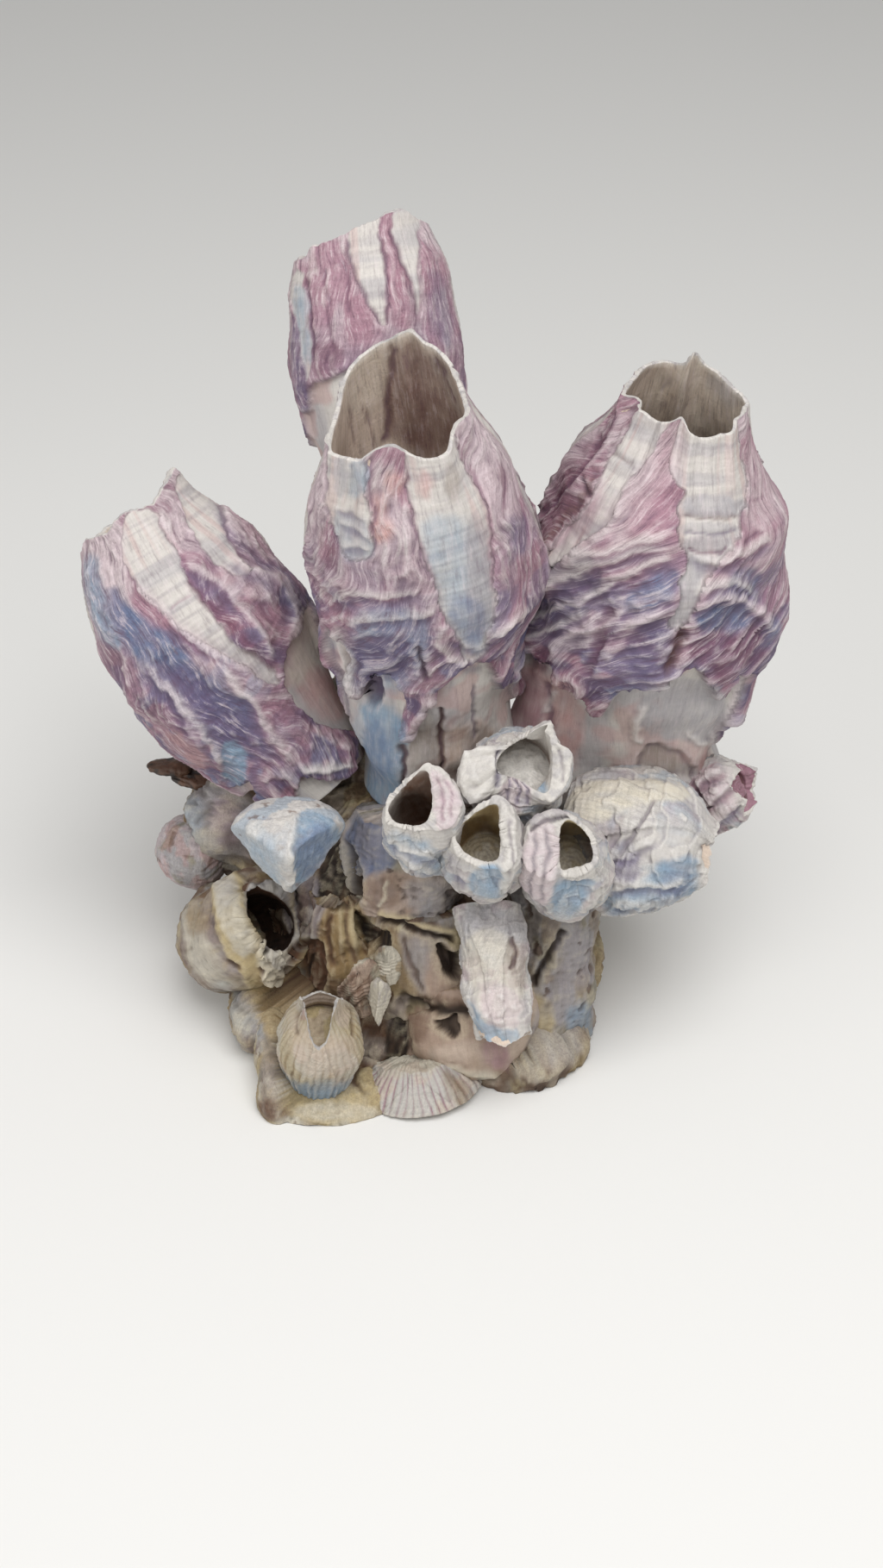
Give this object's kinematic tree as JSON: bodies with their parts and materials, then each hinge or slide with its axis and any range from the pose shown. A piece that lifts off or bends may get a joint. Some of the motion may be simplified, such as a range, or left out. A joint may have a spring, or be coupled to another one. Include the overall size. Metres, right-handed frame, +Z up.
{
  "type": "barnacle cluster",
  "caption": "Cluster of tall purple and white acorn barnacle shells with open mouths, grown on a lump of small and old broken shells that is cut off flat underneath.",
  "frame": {"origin": "point on the flat cut underneath the base mass, below the middle of the cluster", "axes": "+Z up out of the cut, the tall barnacles' way; -Y towards the side with the small barnacles; +X to the right seen from there"},
  "size_m": [0.1153, 0.089, 0.1306],
  "materials": {
    "purple_shell": "chalky, rough mauve plates between smooth banded white strips",
    "pale_shell": "matt chalky white, flaky, with lavender and blue shades",
    "ribbed_shell": "matt, finely ribbed",
    "loose_plate": "matt, finely grooved",
    "old_shell": "worn, stained cream to brown",
    "dark_shell": "dark, horny, slightly glossy"
  },
  "bodies": {
    "root": {"centre_barnacle": "purple_shell", "right_barnacle": "purple_shell", "left_barnacle": "purple_shell", "back_barnacle": "purple_shell", "front_barnacle_left": "pale_shell", "front_barnacle_middle": "pale_shell", "front_barnacle_right": "pale_shell", "side_barnacle": "pale_shell", "broken_barnacle_top": "pale_shell", "broken_barnacle_right": "pale_shell", "broken_barnacle_left": "pale_shell", "broken_barnacle_hanging": "pale_shell", "ribbed_barnacle": "ribbed_shell", "striped_barnacle": "ribbed_shell", "loose_plate_left": "loose_plate", "loose_plate_right": "loose_plate", "loose_plate_top": "loose_plate", "old_shell_left": "old_shell", "old_shell_pink": "old_shell", "old_shell_brown": "old_shell", "old_shell_middle": "old_shell", "old_shell_upper": "old_shell", "old_shell_lower": "old_shell", "old_shell_right": "old_shell", "front_ledge": "old_shell", "base_mass": "old_shell", "dark_shell_flake": "dark_shell"}
  },
  "joints": []
}
